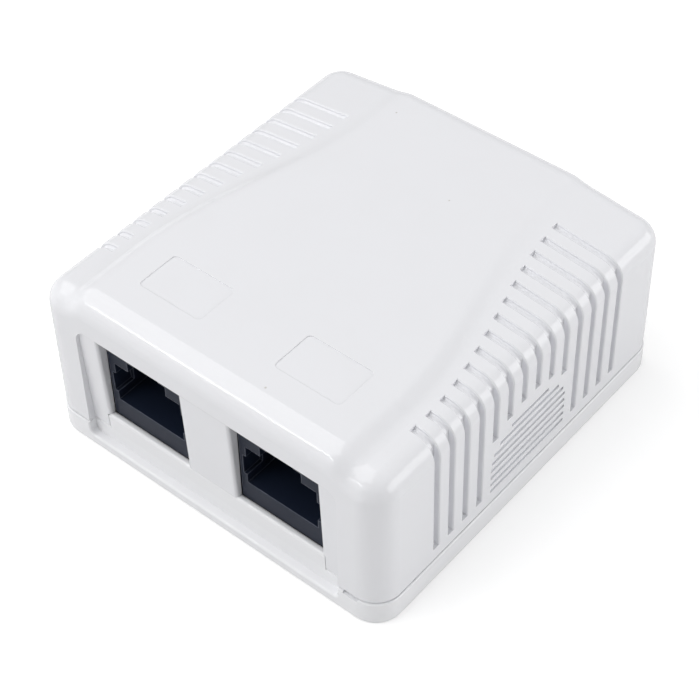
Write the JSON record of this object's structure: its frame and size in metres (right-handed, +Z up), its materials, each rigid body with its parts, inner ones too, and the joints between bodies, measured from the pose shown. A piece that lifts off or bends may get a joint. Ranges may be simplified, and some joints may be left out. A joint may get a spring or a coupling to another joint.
{
  "type": "surface mount jack box",
  "caption": "White surface mount box with modular jacks side by side in its front, a lift-off grooved cover, a screw-down tray and punch-down terminals inside.",
  "frame": {"origin": "middle of the underside of the tray", "axes": "+Z up out of the mounting surface, the jacks face -Y, +X to the right seen from the jacks"},
  "size_m": [0.0582, 0.0622, 0.028],
  "materials": {
    "housing": "satin gloss",
    "jack": "satin",
    "contact": "gold plated",
    "board": "solder mask",
    "terminal": "moulded",
    "fork": "tin plated",
    "screw": "zinc plated"
  },
  "bodies": {
    "base": {"base_tray": "housing", "circuit_board": "board", "board_screws": "screw", "jack_housing_left": "jack", "jack_contact_left_1": "contact", "jack_contact_left_2": "contact", "jack_contact_left_3": "contact", "jack_contact_left_4": "contact", "jack_contact_left_5": "contact", "jack_contact_left_6": "contact", "jack_contact_left_7": "contact", "jack_contact_left_8": "contact", "terminal_block_left_a": "terminal", "terminal_fork_left_a1": "fork", "terminal_fork_left_a2": "fork", "terminal_fork_left_a3": "fork", "terminal_fork_left_a4": "fork", "terminal_block_left_b": "terminal", "terminal_fork_left_b1": "fork", "terminal_fork_left_b2": "fork", "terminal_fork_left_b3": "fork", "terminal_fork_left_b4": "fork", "jack_housing_right": "jack", "jack_contact_right_1": "contact", "jack_contact_right_2": "contact", "jack_contact_right_3": "contact", "jack_contact_right_4": "contact", "jack_contact_right_5": "contact", "jack_contact_right_6": "contact", "jack_contact_right_7": "contact", "jack_contact_right_8": "contact", "terminal_block_right_a": "terminal", "terminal_fork_right_a1": "fork", "terminal_fork_right_a2": "fork", "terminal_fork_right_a3": "fork", "terminal_fork_right_a4": "fork", "terminal_block_right_b": "terminal", "terminal_fork_right_b1": "fork", "terminal_fork_right_b2": "fork", "terminal_fork_right_b3": "fork", "terminal_fork_right_b4": "fork"},
    "cover": {"cover": "housing"}
  },
  "joints": [
    {"name": "cover_lift", "type": "slide", "parent": "base", "child": "cover", "axis": [0, 0, 1], "range_m": [0, 0.025]}
  ]
}
